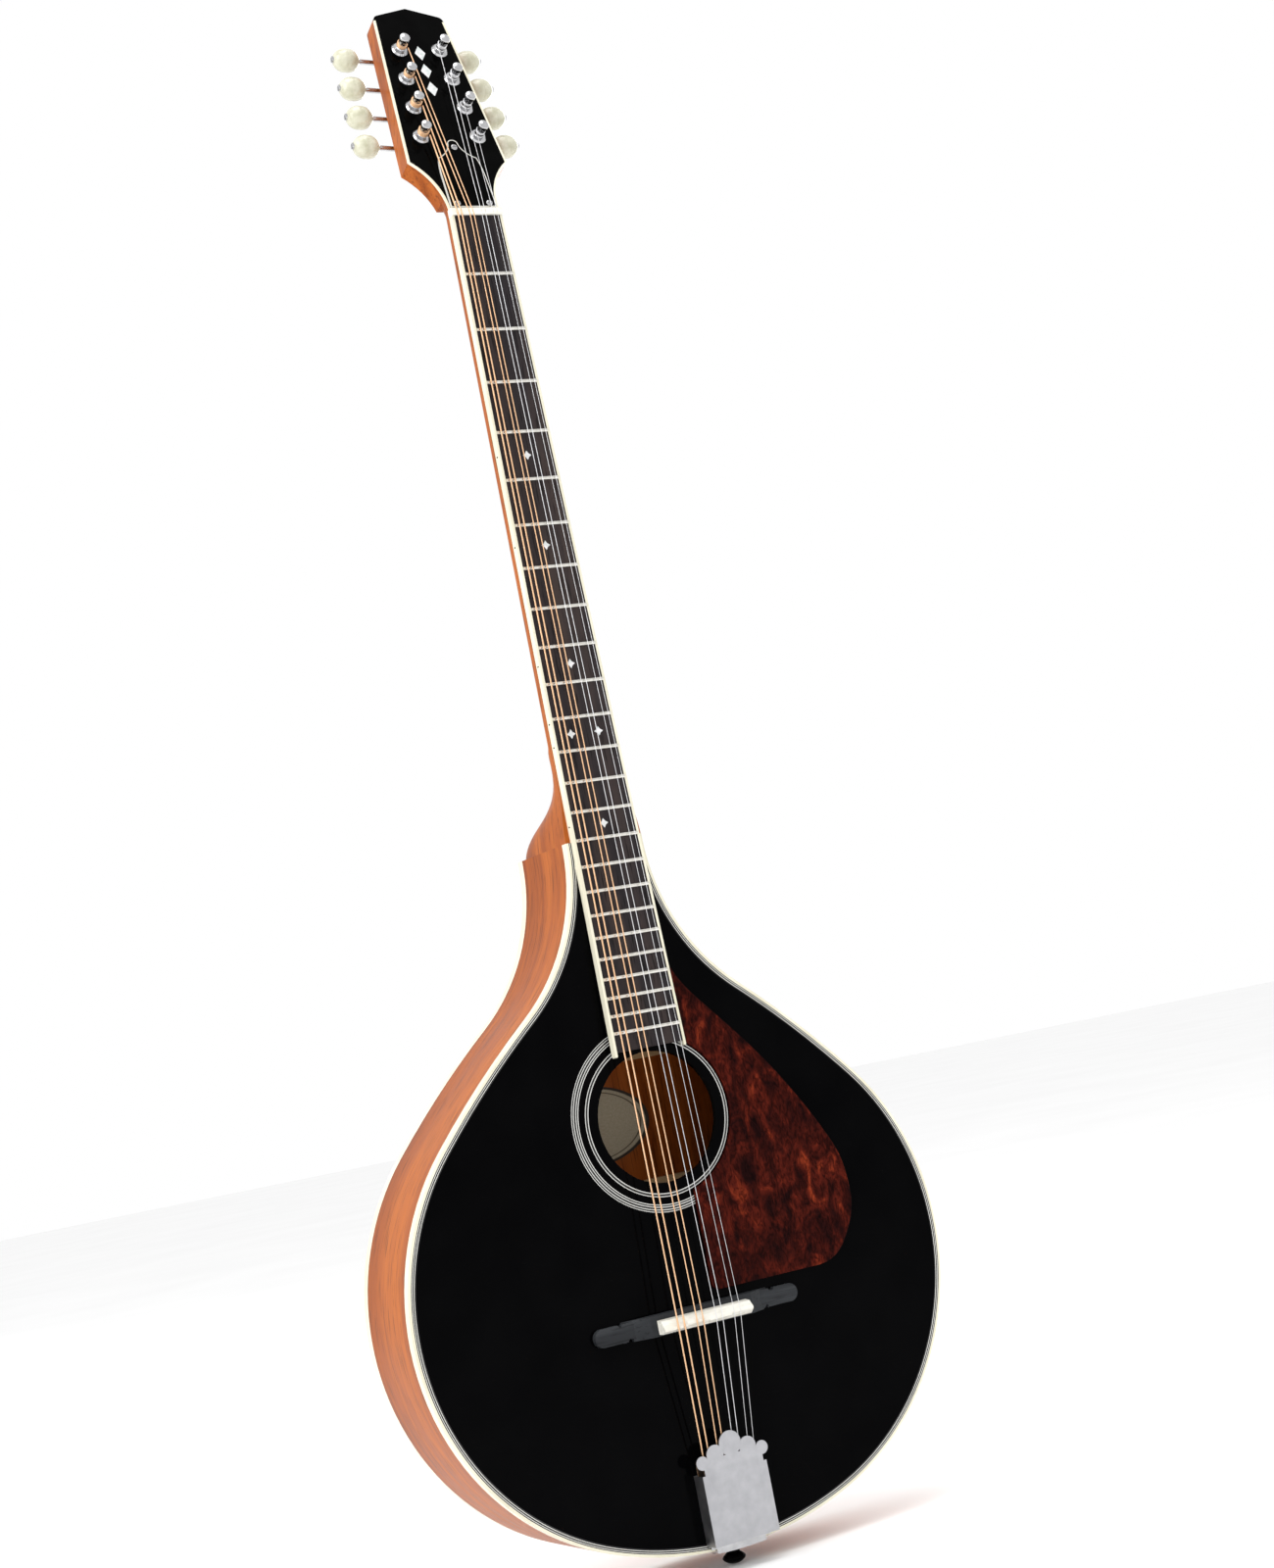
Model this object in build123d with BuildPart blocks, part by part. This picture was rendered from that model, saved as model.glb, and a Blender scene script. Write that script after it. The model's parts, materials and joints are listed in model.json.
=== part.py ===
"""Irish bouzouki: flat-backed teardrop body, 24-fret neck, eight geared tuners, slide-on tailpiece cover.

Frame: +Z runs up the neck, +X to the player's right as seen from the front, the soundboard faces -Y.
The origin is the middle of the neck at the nut, where a wall hanger's fork holds it. Millimetres.
"""
import os
from math import cos, pi, radians, sin, sqrt

from build123d import *

os.makedirs("parts", exist_ok=True)

# ---------------------------------------------------------------- driving dimensions
SCALE = 667.0              # vibrating string length
TOP_Y = -20.0              # outer face of the soundboard
DEPTH = 70.0               # body depth over both plates
JOINT_Z = -386.6           # neck-to-body joint, at the 15th fret
TAIL_Z = -796.5            # lowest point of the body edge
R_TAIL, A_TAIL = 213.5, 21.3       # outline arcs from the tail upward: radius, swept angle
R_BOUT, A_BOUT = 148.0, 110.0
R_UPPER, A_UPPER = 573.0, 9.2
R_SHOULDER = 121.3
A_SHOULDER = A_TAIL + A_BOUT + A_UPPER - 90.0

PLATE_T = 3.0              # soundboard and back
SIDE_T = 2.2
BIND_W, BIND_H = 1.6, 6.0
PURF_W, PURF_T = 2.8, 1.5
LINING_D, LINING_H = 8.0, 13.0
HOLE_Z, HOLE_R = -550.9, 38.0
RING_IN = (44.0, 46.2)
RING_OUT = (50.3, 54.9)
RING_T = 1.0

NUT_Y = -11.2              # fretboard surface at the nut
NECK_TILT = 1.9            # neck lean-back from the soundboard plane, degrees
FB_T = 4.6
FB_LEN = 511.0
FB_HALF_NUT, FB_HALF_24 = 15.1, 21.5
FB_BIND = 1.6
FRETS = 24
FRET_H, FRET_W = 1.1, 2.4
NUT_LEN = 5.0
NECK_DEPTH_NUT, NECK_DEPTH_HEEL = 14.5, 19.0

HEAD_TILT = 16.0           # headstock lean-back, degrees
HEAD_T = 14.5              # headstock thickness with its veneer
VENEER_T = 1.5
HEAD_BIND = 1.2

POST_PITCH = 22.5          # tuner spacing along each plate
BANK_X, BANK_U, BANK_LEAN = 19.0, 54.5, 4.7
POST_R, WAIST_R = 3.0, 2.6
PLATE_METAL = 1.2
GEAR_TEETH = 14
WORM_PITCH = 1.62
GEAR_R = GEAR_TEETH * WORM_PITCH / (2 * pi)
WORM_R = 1.9
WORM_THROW = 0.5           # the thread is a round section carried round the shaft's axis
WORM_LEN = 4.5 * WORM_PITCH
SHAFT_Y = GEAR_R + WORM_R
SHAFT_Z = -4.2
SHAFT_R = 1.6
BUTTON_X, BUTTON_HALF, BUTTON_R = 28.5, 8.25, 7.2

SADDLE_H = 16.6            # string height over the soundboard at the saddle
BRIDGE_HALF = 66.5
PAIR_AT_NUT = (-11.9, -3.97, 3.97, 11.9)
PAIR_AT_BRIDGE = (-18.6, -6.3, 6.3, 18.2)
STRING_R = (0.5, 0.38, 0.22, 0.16)

TP_HALF, TP_H, TP_WALL = 20.9, 11.8, 0.8   # tailpiece cover half width, height over the top, sheet
LIP_Z, LIP_H, HOOK_Z = -744.0, 8.2, -783.0
PIN_DEPTH = 10.0           # end pin behind the soundboard face
PIN_BORE_R, PILOT_R = 3.5, 1.3     # bores for the end pin and the tail screws
SCREW_R = 1.0
RUN_FIT = 0.06             # radial play of a shaft in its bore
STRUT_W, TOP_BAR_H, TONE_BAR_H = 7.0, 9.0, 7.0
TOP_BARS = ((-482.0, 90.0), (-614.0, 180.0))       # height on the body, half length
TONE_BAR_X, TONE_BAR_Z, TONE_BAR_LEN, TONE_BAR_SPLAY = 34, -690, 130, 7.0
BACK_BARS = ((-455.0, 60.0), (-512.0, 110.0), (-592.0, 170.0), (-695.0, 170.0))
BACK_BAR_HALF_W, BACK_BAR_H = 4, 11
LABEL_AT, LABEL_HALF, LABEL_T = (-14, -551), (42, 24), 0.3

# ---------------------------------------------------------------- shared planes
BODY = Plane(origin=(0, TOP_Y, 0), x_dir=(1, 0, 0), z_dir=(0, -1, 0))
neck_lean = radians(NECK_TILT)
NECK = Plane(origin=(0, NUT_Y, 0), x_dir=(1, 0, 0), z_dir=(0, -cos(neck_lean), sin(neck_lean)))
head_lean = radians(HEAD_TILT)
HEAD = Plane(origin=NECK.from_local_coords((0, NUT_LEN, -2.0)), x_dir=(1, 0, 0),
             z_dir=(0, -cos(head_lean), sin(head_lean)))
BACK = -DEPTH              # local height of the back face in BODY
CLEAR_X, CLEAR_LOW, CLEAR_HIGH = 200.0, -820.0, -300.0   # bounds outside the body on each side


def body_shape(inset):
    """Body outline, moved inward by inset; the neck end stays on the joint plane."""
    with BuildSketch(mode=Mode.PRIVATE) as s:
        with BuildLine():
            a = JernArc((0, TAIL_Z + inset), (1, 0), R_TAIL - inset, A_TAIL)
            b = JernArc(a @ 1, a % 1, R_BOUT - inset, A_BOUT)
            c = JernArc(b @ 1, b % 1, R_UPPER - inset, A_UPPER)
            d = JernArc(c @ 1, c % 1, R_SHOULDER + inset, -A_SHOULDER)
            e = Line(d @ 1, ((d @ 1).X, JOINT_Z))
            Line(e @ 1, (0, JOINT_Z))
            mirror(about=Plane.YZ)
        make_face()
    return s.sketch


def rect(x0, x1, y0, y1):
    """Sketch rectangle between two corners."""
    return Pos((x0 + x1) / 2, (y0 + y1) / 2) * Rectangle(x1 - x0, y1 - y0, mode=Mode.PRIVATE)


def slab(plane, x0, x1, y0, y1, z0, z1):
    """Block given by its extents in a plane's own axes."""
    block = Box(x1 - x0, y1 - y0, z1 - z0, mode=Mode.PRIVATE)
    return plane.location * Pos((x0 + x1) / 2, (y0 + y1) / 2, (z0 + z1) / 2) * block


def peg(radius, length):
    """Round rod along Z, centred on the origin."""
    return Cylinder(radius, length, mode=Mode.PRIVATE)


BEND_SWELL = 0.02          # the ball that covers a bend stands this proud of the rod


def tube(points, radius):
    """Round rod along a bent path, with a ball at each bend."""
    rod = Part()
    for start, end in zip(points, points[1:]):
        run = end - start
        rod += Plane(origin=(start + end) / 2, z_dir=run).location * peg(radius, run.length)
    for bend in points[1:-1]:
        rod += Pos(bend.X, bend.Y, bend.Z) * Sphere(radius + BEND_SWELL)
    return rod


def save(part, name):
    """Label and write one sub-part."""
    part.label = name
    export_step(part, "parts/" + name + ".step")


def fb_half(s):
    """Half width of the fretboard wood at a distance from the nut."""
    return FB_HALF_NUT + (FB_HALF_24 - FB_HALF_NUT) * s / (0.75 * SCALE)


def fret_at(n):
    """Distance from the nut to a fret."""
    return SCALE * (1 - 2 ** (-n / 12))


FULL = body_shape(0)
IN_BIND = body_shape(BIND_W)
IN_PURF = body_shape(BIND_W + PURF_W)
IN_SIDE = body_shape(SIDE_T)
IN_LINING = body_shape(LINING_D)

# volume swept by the fretboard with its binding, used to let it into the top
ROOM_LEN, ROOM_ABOVE = FB_LEN + 3.0, 3
with BuildPart(NECK) as board_room:
    with BuildSketch(NECK.offset(-FB_T)):
        with BuildLine():
            Polyline((-fb_half(0) - FB_BIND, 0), (fb_half(0) + FB_BIND, 0),
                     (fb_half(ROOM_LEN) + FB_BIND, -ROOM_LEN),
                     (-fb_half(ROOM_LEN) - FB_BIND, -ROOM_LEN), close=True)
        make_face()
    extrude(amount=FB_T + ROOM_ABOVE)

# ---------------------------------------------------------------- body box
with BuildPart() as soundboard:
    with BuildSketch(BODY.offset(-PURF_T)):
        add(IN_PURF)
        with Locations((0, HOLE_Z)):
            Circle(HOLE_R, mode=Mode.SUBTRACT)
    extrude(amount=PURF_T)
    with BuildSketch(BODY.offset(-PLATE_T)):
        add(IN_BIND)
        with Locations((0, HOLE_Z)):
            Circle(HOLE_R, mode=Mode.SUBTRACT)
    extrude(amount=PLATE_T - PURF_T)
    with BuildSketch(BODY.offset(-RING_T)):
        with Locations((0, HOLE_Z)):
            Circle(RING_OUT[1])
            Circle(RING_OUT[0], mode=Mode.SUBTRACT)
            Circle(RING_IN[1])
            Circle(RING_IN[0], mode=Mode.SUBTRACT)
    extrude(amount=RING_T, mode=Mode.SUBTRACT)
    add(board_room.part, mode=Mode.SUBTRACT)

with BuildPart() as rosette:
    with BuildSketch(BODY.offset(-RING_T)):
        with Locations((0, HOLE_Z)):
            Circle(RING_OUT[1])
            Circle(RING_OUT[0], mode=Mode.SUBTRACT)
    extrude(amount=RING_T)
    with BuildSketch(BODY.offset(-RING_T)):
        with Locations((0, HOLE_Z)):
            Circle(RING_IN[1])
            Circle(RING_IN[0], mode=Mode.SUBTRACT)
    extrude(amount=RING_T)
    add(board_room.part, mode=Mode.SUBTRACT)

with BuildPart() as top_purfling:
    with BuildSketch(BODY.offset(-PURF_T)):
        add(IN_BIND)
        add(IN_PURF, mode=Mode.SUBTRACT)
    extrude(amount=PURF_T)
    add(board_room.part, mode=Mode.SUBTRACT)

with BuildPart() as top_binding:
    with BuildSketch(BODY.offset(-BIND_H)):
        add(FULL)
        add(IN_BIND, mode=Mode.SUBTRACT)
    extrude(amount=BIND_H)
    add(board_room.part, mode=Mode.SUBTRACT)

with BuildPart() as back_binding:
    with BuildSketch(BODY.offset(BACK)):
        add(FULL)
        add(IN_BIND, mode=Mode.SUBTRACT)
    extrude(amount=BIND_H)

with BuildPart() as back_plate:
    with BuildSketch(BODY.offset(BACK)):
        add(IN_BIND)
    extrude(amount=PLATE_T)


def side_half(sign):
    """One bent side, from the tail seam to the neck joint."""
    with BuildPart() as half:
        with BuildSketch(BODY.offset(BACK + BIND_H)):
            add(FULL)
            add(IN_SIDE, mode=Mode.SUBTRACT)
            add(rect(min(0, sign * CLEAR_X), max(0, sign * CLEAR_X), CLEAR_LOW, CLEAR_HIGH),
                mode=Mode.INTERSECT)
        extrude(amount=DEPTH - 2 * BIND_H)
    return half.part


with BuildPart() as side_left:
    add(side_half(-1))

with BuildPart() as side_right:
    add(side_half(1))

NECK_BLOCK_Z = JOINT_Z - 40.0
TAIL_BLOCK_Z = TAIL_Z + 20.0
TAIL_BLOCK_HALF = 38.0

ABOVE_NECK_BLOCK = rect(-CLEAR_X, CLEAR_X, NECK_BLOCK_Z, CLEAR_HIGH)
with BuildPart() as linings:
    for low, sign in ((-PLATE_T, -1), (BACK + PLATE_T, 1)):
        for outer, height in ((IN_BIND, BIND_H - PLATE_T), (IN_SIDE, LINING_H)):
            with BuildSketch(BODY.offset(low)):
                add(outer)
                add(IN_LINING, mode=Mode.SUBTRACT)
                add(ABOVE_NECK_BLOCK, mode=Mode.SUBTRACT)
                add(rect(-TAIL_BLOCK_HALF, TAIL_BLOCK_HALF, CLEAR_LOW, TAIL_BLOCK_Z + 20),
                    mode=Mode.SUBTRACT)
            extrude(amount=sign * height)

TENON_HALF, TENON_LEN, TENON_DEPTH = 10.0, 14.0, 55.0
with BuildPart() as neck_block:
    with BuildSketch(BODY.offset(BACK + PLATE_T)):
        add(IN_SIDE)
        add(ABOVE_NECK_BLOCK, mode=Mode.INTERSECT)
    extrude(amount=DEPTH - 2 * PLATE_T)
    add(slab(BODY, -TENON_HALF, TENON_HALF, JOINT_Z - TENON_LEN, JOINT_Z + 1, -TENON_DEPTH, -8),
        mode=Mode.SUBTRACT)
    add(board_room.part, mode=Mode.SUBTRACT)

PIN_Y = TOP_Y + PIN_DEPTH
TAIL_SCREWS = ((-12.0, 8.0), (12.0, 8.0), (0.0, 24.0))   # across, behind the soundboard face
with BuildPart() as tail_block:
    with BuildSketch(BODY.offset(BACK + PLATE_T)):
        add(IN_SIDE)
        add(rect(-TAIL_BLOCK_HALF, TAIL_BLOCK_HALF, CLEAR_LOW, TAIL_BLOCK_Z), mode=Mode.INTERSECT)
    extrude(amount=DEPTH - 2 * PLATE_T)

TAIL_BORES = [Pos(0, PIN_Y, TAIL_Z + 12) * peg(PIN_BORE_R, 40)]
for x, back in TAIL_SCREWS:
    TAIL_BORES.append(Pos(x, TOP_Y + back, TAIL_Z + 5) * peg(PILOT_R, 18))

with BuildPart() as braces:
    for z, half in TOP_BARS:
        with BuildSketch(BODY.offset(-PLATE_T - TOP_BAR_H)):
            add(rect(-half, half, z - STRUT_W / 2, z + STRUT_W / 2))
        extrude(amount=TOP_BAR_H)
    for sign in (-1, 1):
        with BuildSketch(BODY.offset(-PLATE_T - TONE_BAR_H)):
            with Locations(Location((sign * TONE_BAR_X, TONE_BAR_Z, 0), sign * TONE_BAR_SPLAY)):
                Rectangle(STRUT_W, TONE_BAR_LEN)
        extrude(amount=TONE_BAR_H)
    for z, half in BACK_BARS:
        with BuildSketch(BODY.offset(BACK + PLATE_T)):
            add(rect(-half, half, z - BACK_BAR_HALF_W, z + BACK_BAR_HALF_W))
        extrude(amount=BACK_BAR_H)
    with BuildSketch(BODY.offset(BACK)):
        add(IN_LINING)
    extrude(amount=DEPTH, mode=Mode.INTERSECT)

with BuildPart() as label:
    with BuildSketch(BODY.offset(BACK + PLATE_T)):
        with Locations(LABEL_AT):
            Ellipse(*LABEL_HALF)
    extrude(amount=LABEL_T)

# ---------------------------------------------------------------- pickguard
GUARD_T = 1.6
with BuildPart() as pickguard:
    with BuildSketch(BODY):
        with BuildLine():
            Line((22.3, -500), (22.6, -455))
            Spline((22.6, -455), (43.2, -491.8), (79.8, -535.5), (108.5, -582), (116.3, -616),
                   tangents=((0.15, -1), (0, -1)))
            Spline((116.3, -616), (108.7, -639.5), (84, -654.7), tangents=((0, -1), (-1, 0)))
            Line((84, -654.7), (18, -654.7))
            turn = JernArc((18, -654.7), (-1, 0), 4.5, -90)
            rise = Line(turn @ 1, ((turn @ 1).X, -590))
            Line(rise @ 1, (10, -560))
            Line((10, -560), (22.3, -500))
        make_face()
        with Locations((0, HOLE_Z)):
            Circle(RING_IN[1] + 0.8, mode=Mode.SUBTRACT)
    extrude(amount=GUARD_T)
    add(board_room.part, mode=Mode.SUBTRACT)

# ---------------------------------------------------------------- neck with headstock


def neck_section(s, half, depth, squareness):
    """Rounded neck cross-section at a distance from the nut, flat side under the fretboard."""
    plane = Plane(origin=NECK.from_local_coords((0, -s, -FB_T)), x_dir=(1, 0, 0), z_dir=-NECK.y_dir)
    rim = []
    for k in range(13):
        a = pi * k / 12
        c = abs(cos(a)) ** (2 / squareness) * (1 if cos(a) >= 0 else -1)
        rim.append((half * c, -depth * abs(sin(a)) ** (2 / squareness)))
    with BuildSketch(plane, mode=Mode.PRIVATE) as sk:
        with BuildLine():
            Spline(*rim, tangents=((0, -1), (0, 1)))
            Line(rim[-1], rim[0])
        make_face()
    return sk.sketch


def head_half(u):
    """Half width of the straight-sided part of the headstock."""
    return 33.0 - 9.5 * (u - 35.5) / 112.5


def head_shape(inset):
    """Headstock outline in its own plane, the straight and curved sides moved inward by inset."""
    with BuildSketch(mode=Mode.PRIVATE) as s:
        with BuildLine():
            a = ThreePointArc((16.8 - inset, -3), (20.0 - inset, 18.0), (33 - inset * 1.05, 35.5))
            b = Line(a @ 1, (head_half(145.5) - inset, 145.5))
            c = Spline(b @ 1, (20.5, 149.5), tangents=((-0.08, 1), (-1, 0.3)))
            Line(c @ 1, (0, 155.5))
            Line((0, -3), a @ 0)
            mirror(about=Plane.YZ)
        make_face()
    return s.sketch


lean = radians(BANK_LEAN)
POSTS = []
for i in range(4):
    POSTS.append((BANK_X - POST_PITCH * i * sin(lean), BANK_U + POST_PITCH * i * cos(lean)))


def bank_plane(i):
    """Frame of tuner i on the right bank: x out to the button, y up the bank, z to the front."""
    out = HEAD.x_dir * cos(lean) + HEAD.y_dir * sin(lean)
    return Plane(origin=HEAD.from_local_coords((POSTS[i][0], POSTS[i][1], -HEAD_T)), x_dir=out,
                 z_dir=HEAD.z_dir)


BANK = bank_plane(0)
PLATE_SCREWS = [(-3.6, 11.25 + POST_PITCH * (k - 1)) for k in range(5)]
COVER_SCREWS = ((0.0, 45.5), (-10.6, 3.2), (10.6, 3.2))


def both_banks(part):
    """A right-bank part and its mirror image."""
    return [part, mirror(part, about=Plane.YZ, mode=Mode.PRIVATE)]


SHAFT_HOLES = []
for i in range(4):
    SHAFT_HOLES += both_banks(bank_plane(i).location * Pos(0, 0, 8) * peg(4.0, 24))
for x, y in PLATE_SCREWS:
    SHAFT_HOLES += both_banks(BANK.location * Pos(x, y, 3.5) * peg(SCREW_R, 7))
for x, u in COVER_SCREWS:
    SHAFT_HOLES.append(HEAD.location * Pos(x, u, -3) * peg(SCREW_R, 8))
ROD_POCKET = slab(HEAD, -5.0, 5.0, 3.0, 30.0, -9.0, 1)
ROD_CHANNEL = slab(NECK, -3.2, 3.2, -378.0, 20.0, -FB_T - 9.5, -FB_T)

NECK_ROUND = 2.15          # section exponent: 2 is an ellipse, more is squarer
# neck sections: distance from the nut, half width, depth, section exponent
NUT_SECTION = (-4, 16.8, NECK_DEPTH_NUT, NECK_ROUND)
MID_SECTION = (160, 19.0, 16.5, NECK_ROUND)
HEEL_START = (328, 21.1, NECK_DEPTH_HEEL, NECK_ROUND)
HEEL_CURVE = ((342, 21.4, 20.6, 2.2), (354, 21.8, 25.5, 2.4), (362, 22.4, 35.5, 3.0), (368, 23.1, 48.5, 3.8),
              (373, 23.7, 59.5, 4.8), (380, 24.4, 67.0, 6.5), (392, 24.7, 69.4, 8.0))
HEAD_BLEND = ((-9, 16.95, 14.4, 2.8), (-15, 17.45, 14.2, 4.2))
HEAD_X, HEAD_FAR, BIND_END_U = 40, 160, 145.5
FAR_X = 60                 # half width of cutters that reach past the neck
ROD_R, ROD_NUT_R, ROD_START, ROD_LEN = 2.6, 3.9, 377, 392
with BuildPart() as neck:
    for run in ((NUT_SECTION, MID_SECTION), (MID_SECTION, HEEL_START)):
        loft([neck_section(*row) for row in run], ruled=True)
    loft([neck_section(*row) for row in (HEEL_START,) + HEEL_CURVE])
    loft([neck_section(*row) for row in (NUT_SECTION,) + HEAD_BLEND])
    with BuildSketch(HEAD.offset(-HEAD_T)):
        add(head_shape(0) & rect(-HEAD_X, HEAD_X, 9.0, HEAD_FAR))
    extrude(amount=HEAD_T - VENEER_T)
    with BuildSketch(HEAD.offset(-FB_T)):
        add(head_shape(0) & rect(-HEAD_X, HEAD_X, -3, 12))
    extrude(amount=FB_T - VENEER_T)
    add(slab(BODY, -FAR_X, FAR_X, -800, JOINT_Z, -100, 60), mode=Mode.SUBTRACT)
    add(slab(NECK, -FAR_X, FAR_X, -600, NUT_LEN, -FB_T, 40), mode=Mode.SUBTRACT)
    add(slab(HEAD, -FAR_X, FAR_X, -1, 30, -VENEER_T, 40), mode=Mode.SUBTRACT)
    add(slab(BODY, -TENON_HALF, TENON_HALF, JOINT_Z - TENON_LEN, JOINT_Z + 2, -TENON_DEPTH, -8))
    add([ROD_CHANNEL, ROD_POCKET] + SHAFT_HOLES, mode=Mode.SUBTRACT)

with BuildPart() as truss_rod:
    rod = Plane(origin=NECK.from_local_coords((0, -ROD_START, -FB_T - 4.2)), x_dir=(1, 0, 0),
                z_dir=NECK.y_dir)
    with BuildSketch(rod):
        Circle(ROD_R)
    extrude(amount=ROD_LEN)
    with BuildSketch(rod.offset(ROD_START + 8)):
        RegularPolygon(ROD_NUT_R, 6)
    extrude(amount=6.5)

with BuildPart() as headstock_veneer:
    with BuildSketch(HEAD.offset(-VENEER_T)):
        add(head_shape(HEAD_BIND))
        add(head_shape(0) & rect(-HEAD_X, HEAD_X, BIND_END_U, HEAD_FAR))
    extrude(amount=VENEER_T)
    add([ROD_POCKET] + SHAFT_HOLES, mode=Mode.SUBTRACT)
    add(slab(NECK, -FAR_X, FAR_X, -20, NUT_LEN, -FB_T - 3, 40), mode=Mode.SUBTRACT)

with BuildPart() as headstock_binding:
    with BuildSketch(HEAD.offset(-VENEER_T)):
        add(head_shape(0) & rect(-HEAD_X, HEAD_X, -5, BIND_END_U))
        add(head_shape(HEAD_BIND), mode=Mode.SUBTRACT)
    extrude(amount=VENEER_T)
    add(slab(NECK, -FAR_X, FAR_X, -20, NUT_LEN, -FB_T - 3, 40), mode=Mode.SUBTRACT)

# ---------------------------------------------------------------- fretboard
SLOT_W, TANG_D = 0.6, 1.9
PEARLS = ((5, 0.0), (7, 0.0), (10, 0.0), (12, -9.0), (12, 9.0), (15, 0.0))
PEARL_T = 0.8


def mid_fret(n):
    """Middle of the space before a fret, from the nut."""
    return (fret_at(n - 1) + fret_at(n)) / 2


def snowflake(size):
    """Four-armed snowflake inlay."""
    arm = Polyline((0, 0), (size * 0.34, size * 0.5), (0, size), (-size * 0.34, size * 0.5), (0, 0))
    petal = make_face(arm)
    flake = Circle(size * 0.3) + [Rot(0, 0, 90 * k) * petal for k in range(4)]
    return flake + [Rot(0, 0, 90 * k + 45) * Pos(0, size * 0.42) * Circle(size * 0.15) for k in range(4)]


FLAKE = snowflake(2.9)
LOZENGE = make_face(Polyline((0, -5.6), (3.6, 0), (0, 5.6), (-3.6, 0), (0, -5.6)))
with BuildPart() as pearl_inlays:
    for n, x in PEARLS:
        with BuildSketch(NECK.offset(-PEARL_T)):
            with Locations((x, -mid_fret(n))):
                add(FLAKE)
        extrude(amount=PEARL_T)
    with BuildSketch(HEAD.offset(-PEARL_T)):
        with Locations((0, 92.0), (0, 106.0), (0, 120.0)):
            add(LOZENGE)
    extrude(amount=PEARL_T)

with BuildPart() as fretboard:
    with BuildSketch(NECK.offset(-FB_T)):
        with BuildLine():
            Polyline((-fb_half(0), 0), (fb_half(0), 0), (fb_half(FB_LEN), -FB_LEN),
                     (-fb_half(FB_LEN), -FB_LEN), close=True)
        make_face()
    extrude(amount=FB_T)
    for n in range(1, FRETS + 1):
        add(slab(NECK, -30, 30, -fret_at(n) - SLOT_W / 2, -fret_at(n) + SLOT_W / 2, -TANG_D, 1),
            mode=Mode.SUBTRACT)
    add(pearl_inlays.part, mode=Mode.SUBTRACT)
headstock_veneer_part = headstock_veneer.part - pearl_inlays.part

with BuildPart() as fretboard_binding:
    with BuildSketch(NECK.offset(-FB_T)):
        for sign in (-1, 1):
            with BuildLine():
                top_in = (sign * fb_half(0), 0)
                top_out = (sign * (fb_half(0) + FB_BIND), 0)
                low_in = (sign * fb_half(FB_LEN + 2), -FB_LEN - 2)
                low_out = (sign * (fb_half(FB_LEN + 2) + FB_BIND), -FB_LEN - 2)
                Line(top_in, top_out)
                Line(top_out, low_out)
                ThreePointArc(low_out, ((low_in[0] + low_out[0]) / 2, -FB_LEN - 2.8), low_in)
                Line(low_in, top_in)
            make_face()
    extrude(amount=FB_T)

DOT_R, DOT_T = 1.0, 0.6
with BuildPart() as side_dots:
    for n, shift in ((5, 0), (7, 0), (10, 0), (12, -7), (12, 7), (15, 0)):
        s = mid_fret(n) + shift
        with BuildSketch(Plane(origin=NECK.from_local_coords((-fb_half(s) - FB_BIND, -s, -2.2)),
                               x_dir=NECK.y_dir, z_dir=(-1, 0, 0))):
            Circle(DOT_R)
        extrude(amount=-DOT_T)
binding_part = fretboard_binding.part - side_dots.part

with BuildPart() as frets:
    for n in range(1, FRETS + 1):
        half = fb_half(fret_at(n) - FRET_W)
        side = Plane(origin=NECK.from_local_coords((-half, -fret_at(n), 0)), x_dir=NECK.y_dir,
                     z_dir=(1, 0, 0))
        with BuildSketch(side):
            with BuildLine():
                crown = ThreePointArc((-FRET_W / 2, 0), (0, FRET_H), (FRET_W / 2, 0))
                Polyline(crown @ 1, (SLOT_W / 2, 0), (SLOT_W / 2, -TANG_D), (-SLOT_W / 2, -TANG_D),
                         (-SLOT_W / 2, 0), crown @ 0)
            make_face()
        extrude(amount=2 * half)

# ---------------------------------------------------------------- strings
STRING_SEAT = FRET_H + 0.15
LOOP_R, LOOP_WIRE_R = 1.65, 0.32


def string_path(k):
    """Path of string k (0 at the bass edge) from its hook to just short of its post."""
    pair, within = divmod(k, 2)
    r = STRING_R[pair]
    x_bridge = PAIR_AT_BRIDGE[pair] + (2.05 if within else -2.05)
    x_nut = PAIR_AT_NUT[pair] + (1.3 if within else -1.3)
    post = k if k < 4 else 7 - k
    side = -1 if k < 4 else 1
    coil = WAIST_R + r
    short = sqrt((coil + 2 * r + 0.35) ** 2 - coil ** 2)
    nut_top = NECK.from_local_coords((x_nut, 0.4, STRING_SEAT + r))
    target = HEAD.from_local_coords((side * (POSTS[post][0] - coil), POSTS[post][1], 6.0))
    run = target - nut_top
    x_hook = 0.72 * PAIR_AT_BRIDGE[pair] + (2.3 if within else -2.3)
    x_lip = 0.80 * PAIR_AT_BRIDGE[pair] + (1.9 if within else -1.9)
    return [Vector(x_hook, TOP_Y - 5.0, HOOK_Z + 1.9),
            Vector(x_lip, TOP_Y - LIP_H - r - 0.15, LIP_Z),
            Vector(x_bridge, TOP_Y - SADDLE_H - r, -SCALE),
            nut_top,
            target - run * (short / run.length)]


def string(k, extra=0.0):
    """String k as a solid."""
    return tube(string_path(k), STRING_R[k // 2] + extra)


def string_loop(k):
    """Loop end of string k round its hook, with the knot where the loop is twisted shut."""
    end = string_path(k)[0]
    knot = Pos(end.X, end.Y, end.Z) * Sphere(STRING_R[k // 2] + LOOP_WIRE_R)
    return Pos(end.X, end.Y, HOOK_Z) * Rot(90, 0, 0) * Torus(LOOP_R, LOOP_WIRE_R) + knot


STRINGS = [string(k) + string_loop(k) for k in range(8)]
GROOVES = [string(k, 0.03) for k in range(8)]

with BuildPart() as wound_strings:
    add(STRINGS[:4])

with BuildPart() as plain_strings:
    add(STRINGS[4:])

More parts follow.
